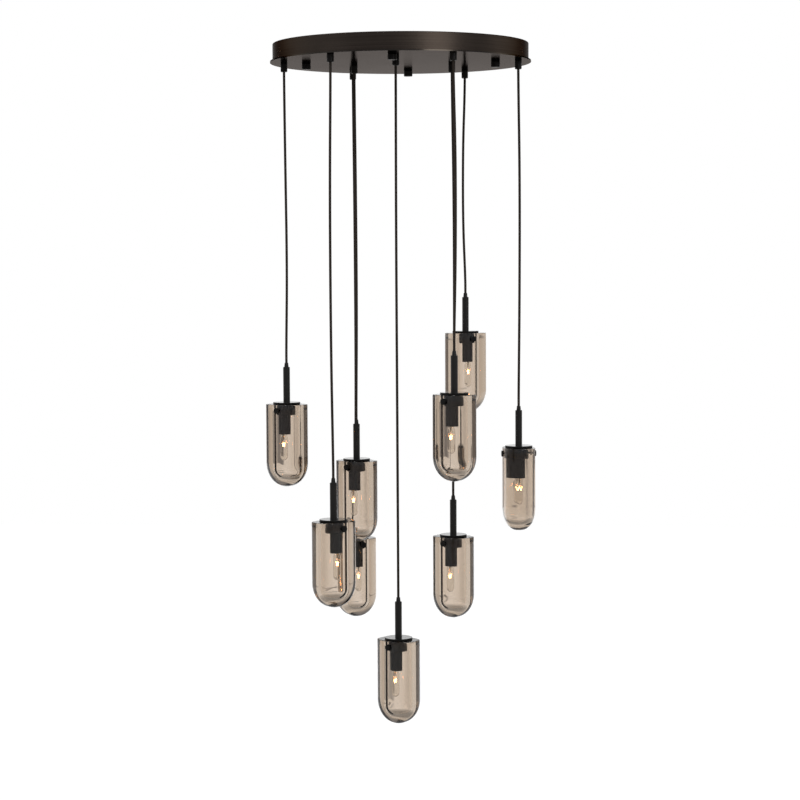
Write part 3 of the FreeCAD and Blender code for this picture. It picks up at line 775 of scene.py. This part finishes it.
# %% Filament, wires and base
GLOW = 26.0
hot = Finish("glowing filament")
flicker = hot.noise(500.0, 2.0, 0.5)
glow = hot.surface(Base_Color=(0.02, 0.01, 0.005, 1), Roughness=0.6, Emission_Strength=GLOW,
                   Emission_Color=hot.blend(flicker, (1.0, 0.36, 0.11, 1), (1.0, 0.52, 0.23, 1)))

brass = Finish("bulb base and wires")
tarnish = brass.noise(300.0, 3.0, 0.5)
base_metal = brass.surface(
    Base_Color=brass.blend(tarnish, (0.42, 0.33, 0.20, 1), (0.60, 0.52, 0.38, 1)), Metallic=1.0,
    Roughness=0.28 + tarnish * 0.2, Normal=brass.bump(tarnish, 0.1, 0.0001))
for name in LAMPS:
    put_on(smoke_glass, glasses[name])
    put_on(bulb_clear, bulbs[name])
    put_on(glow, filaments[name])
    put_on(base_metal, bases[name])
print("filament's strength", GLOW)

# %% [markdown]
# ## Studio
#
# The pendant hangs in an empty pale room. The floor lies well below it and the room around is a
# plain pale light. Only the camera, mirrors and glass see the room as pure white; as a lamp it is
# weaker, so that the softboxes can still shape the metal.
#
# Clear glass in an all white room has no edges. Photographers put black cards beside it, which the
# thick glass bends into dark lines. Here the room itself is darker in five places, and straight
# rays see none of them:
#
# - grey in front of the pendant, for mirrored rays
# - brown below the horizon, as over a wooden floor, for mirrored rays that went through no glass
# - grey overhead, for mirrored rays and rays through glass
# - a dark upright card behind the pendant on the left, for rays that went through glass
# - a faint one behind it on the right, for the same rays

# %% Bands that only glass can see
CARD_COLOUR = (0.26, 0.26, 0.27, 1)
FAINT_CARD = 0.2
DARK_EDGES = (96.0, 101.0), (160.0, 104.0)
FAINT_EDGES = (44.0, 50.0), (64.0, 58.0)


def band(finish, value, edges):
    """1 between two soft edges, each given from its dark side to its bright side, and 0 outside."""
    (near_out, near_in), (far_out, far_in) = edges
    return finish.level(value, near_out, near_in) * finish.level(value, far_out, far_in)


def card_shade(finish, x, y, within):
    """How dark the cards are in a direction, from 0 to 1, for rays that went through glass. It is
    read from the azimuth in degrees: a dark card from 98 on that fades to the left, kept `within`
    some height, and a faint one from 46 to 62."""
    azimuth = finish.angle(x, y) * float(np.degrees(1))
    dark = band(finish, azimuth, DARK_EDGES) * within
    faint = band(finish, azimuth, FAINT_EDGES)
    return (dark + faint * FAINT_CARD) * finish.once("Transmission Depth")


# %% [markdown]
# ## The floor
#
# The floor has to look as white as the room and still take the pendant's shadow. So it is a mid
# grey that the lamps light, with a glow on top that only straight rays, mirrors and glass see.
# Mirrors and glass see that glow from a few metres on, since a bright floor right below the canopy
# would light up its face. Mirrored rays don't see it in front of the pendant, where the room is
# grey for them too.

# %% Lay the floor
FLOOR_Z = -2.9
FLOOR_HALF = 14.0
FLOOR_GREY = (0.45, 0.45, 0.45, 1)
FLOOR_GLOW = 0.68
GLOW_STARTS = 1.5, 4.5
FRONT_STARTS = 1.0, -1.0
CARD_ON_FLOOR = (5.5, 6.0), (9.2, 8.8)
CARDS_START = 5.0, 6.0

floor_mesh = bpy.data.meshes.new("floor")
corners = [(-1, -1), (1, -1), (1, 1), (-1, 1)]
floor_mesh.from_pydata([(x * FLOOR_HALF, y * FLOOR_HALF, FLOOR_Z) for x, y in corners], [], [(0, 1, 2, 3)])
floor = bpy.data.objects.new("floor", floor_mesh)
bpy.context.scene.collection.objects.link(floor)
floor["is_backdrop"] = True
pale = Finish("pale floor")
x, y, z = pale.split(pale.place)
radius = pale.reach(x, y)
in_front = pale.once("Glossy Depth") * pale.level(y, *FRONT_STARTS)
far = pale.level(radius, *GLOW_STARTS) * (1 - in_front)
cards = card_shade(pale, x, y, band(pale, radius, CARD_ON_FLOOR)) * pale.level(radius, *CARDS_START)
glowing = pale.seen() * FLOOR_GLOW * pale.sum("MAXIMUM", pale.ray("Is Camera Ray"), far)
put_on(pale.surface(Base_Color=FLOOR_GREY, Roughness=0.9, Emission_Strength=glowing,
                    Emission_Color=pale.blend(cards, (1, 1, 1, 1), CARD_COLOUR)), floor)
print("floor at", FLOOR_Z)

# %% [markdown]
# ## The room and its lamps
#
# A world has no distance, so its shade is read from the direction alone: x, y and z are those of a
# unit vector from the pendant. Two softboxes stand in front, one low on the right and one high on
# the left. They give the metal its soft highlights and the pendant its shape.

# %% Light the room
ROOM_LIGHT = 0.75
FRONT_COLOUR = (0.37, 0.39, 0.43, 1)
FRONT_EDGE = 0.20, -0.10
OVERHEAD_EDGE = 0.25, 0.55
LOW_COLOUR = (0.37, 0.28, 0.23, 1)
LOW_SHARE = 0.6
LOW_EDGE = 0.02, -0.04
CARD_HEIGHT = (-0.060, -0.064), (-0.100, -0.096)

room = Finish("room", "worlds", "ShaderNodeOutputWorld")
bpy.context.scene.world = room.material
x, y, z = room.split(room.node("ShaderNodeTexCoord", out="Generated"))
mirrored = room.once("Glossy Depth")
low = room.level(z, *LOW_EDGE) * LOW_SHARE * mirrored * (1 - room.once("Transmission Depth"))
front = room.level(y, *FRONT_EDGE) * mirrored
overhead = room.level(z, *OVERHEAD_EDGE)
dim = room.sum("MAXIMUM", front, overhead) * (1 - room.ray("Is Camera Ray"))
cards = card_shade(room, x, y, band(room, z, CARD_HEIGHT))
shade = room.blend(dim * room.seen(), (1, 1, 1, 1), FRONT_COLOUR)
shade = room.blend(low, shade, LOW_COLOUR)
shade = room.blend(cards, shade, CARD_COLOUR)
brightness = ROOM_LIGHT + room.seen() * (1 - ROOM_LIGHT)
room.end_in(room.node("ShaderNodeBackground", Color=shade, Strength=brightness))


def softbox(name, place, target, width, height, watts):
    """A soft rectangular lamp at a place, aimed at a point."""
    lamp = bpy.data.lights.new(name, "AREA")
    lamp.shape = "RECTANGLE"
    lamp.size, lamp.size_y = width, height
    lamp.energy = watts
    thing = bpy.data.objects.new(name, lamp)
    bpy.context.scene.collection.objects.link(thing)
    aim(thing, place, np.subtract(target, place))


softbox("key softbox", place=(2.2, -3.0, 0.7), target=(0, 0, -0.4), width=1.6, height=1.8, watts=26)
softbox("fill softbox", place=(-3.0, -1.8, 2.4), target=(0, 0, -0.8), width=1.6, height=2.0, watts=50)
bpy.context.scene.view_settings.view_transform = "Standard"
print("lamps", [light.name for light in bpy.data.lights])

# %% [markdown]
# ## Measure and finish
#
# The dressed model's box is printed. The dressed model has to stay the size of the solid
# one.

# %% Print the dressed model's box
low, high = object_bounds()
print("dressed model from", [round(v, 3) for v in low], "to", [round(v, 3) for v in high])
